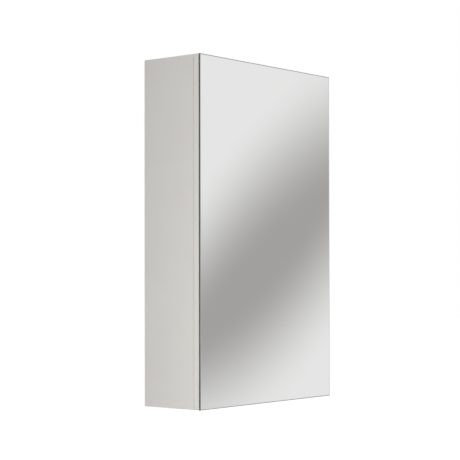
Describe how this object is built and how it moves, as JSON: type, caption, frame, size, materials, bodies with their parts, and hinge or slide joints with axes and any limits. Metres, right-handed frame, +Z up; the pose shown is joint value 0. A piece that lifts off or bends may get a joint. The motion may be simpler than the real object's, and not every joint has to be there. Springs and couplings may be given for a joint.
{
  "type": "shaving cabinet",
  "caption": "Shallow wall cabinet with a full-front mirrored door on concealed hinges, adjustable glass shelves and a finger space under the door edge",
  "frame": {"origin": "middle of the wall screw pattern, on the plane that lies against the wall", "axes": "+X right seen from the room, +Y into the wall, +Z up; the mirror faces -Y"},
  "size_m": [0.45, 0.152, 0.72],
  "materials": {
    "laminate_board": "smooth white laminate",
    "edge_banding": "satin white edge tape",
    "back_board": "white faced hardboard",
    "dowel_wood": "plain beech",
    "zinc": "cast zinc",
    "white_plastic": "satin",
    "clear_pad": "clear soft pad",
    "mirror": "silvered float glass, polished edge",
    "backing_film": "mirror paint and bond",
    "shelf_glass": "clear, polished edges",
    "screw_steel": "zinc plated",
    "nickel": "nickel plated"
  },
  "bodies": {
    "cabinet": {"side_panel_left": "laminate_board", "side_panel_right": "laminate_board", "top_panel": "laminate_board", "bottom_panel": "laminate_board", "back_sheet": "back_board", "rail_upper": "laminate_board", "rail_lower": "laminate_board", "side_banding": "edge_banding", "side_end_banding": "edge_banding", "top_banding": "edge_banding", "bottom_banding": "edge_banding", "cams": "zinc", "cam_bolts": "screw_steel", "cam_covers": "white_plastic", "panel_dowels": "dowel_wood", "rail_dowels": "dowel_wood", "bumpers": "clear_pad", "shelf_pins": "nickel", "shelf_pads": "clear_pad", "hinge_upper_plate": "nickel", "hinge_lower_plate": "nickel", "hinge_upper_arm": "nickel", "hinge_lower_arm": "nickel", "hinge_arm_pins": "nickel", "hinge_plate_screws": "screw_steel", "hinge_adjusters": "screw_steel"},
    "long_links": {"hinge_upper_long_link": "nickel", "hinge_lower_long_link": "nickel"},
    "short_links": {"hinge_upper_short_link": "nickel", "hinge_lower_short_link": "nickel"},
    "door": {"door_board": "laminate_board", "door_banding_uprights": "edge_banding", "door_banding_ends": "edge_banding", "mirror_backing": "backing_film", "mirror_glass": "mirror", "hinge_upper_cup": "nickel", "hinge_lower_cup": "nickel", "hinge_cup_pins": "nickel", "hinge_cup_screws": "screw_steel"},
    "shelf_upper": {"shelf_upper": "shelf_glass"},
    "shelf_lower": {"shelf_lower": "shelf_glass"}
  },
  "joints": [
    {"name": "long_link_swing", "type": "hinge", "parent": "cabinet", "child": "long_links", "pos_m": [0.1925, -0.1144, 0], "axis": [0, 0, 1], "range_deg": [-21, 0]},
    {"name": "door_swing", "type": "hinge", "parent": "long_links", "child": "door", "pos_m": [0.2175, -0.1379, 0], "axis": [0, 0, 1], "range_deg": [0, 115.9]},
    {"name": "short_link_swing", "type": "hinge", "parent": "cabinet", "child": "short_links", "pos_m": [0.1978, -0.1406, 0], "axis": [0, 0, 1], "range_deg": [-30.5, 0]},
    {"name": "shelf_upper_lift", "type": "slide", "parent": "cabinet", "child": "shelf_upper", "axis": [0, 0, 1], "range_m": [0, 0.025]},
    {"name": "shelf_lower_lift", "type": "slide", "parent": "cabinet", "child": "shelf_lower", "axis": [0, 0, 1], "range_m": [0, 0.025]}
  ],
  "couplings": [
    {"joint": "long_link_swing", "follows": "door_swing", "ratio": -0.18033},
    {"joint": "short_link_swing", "follows": "door_swing", "ratio": -0.2623}
  ]
}
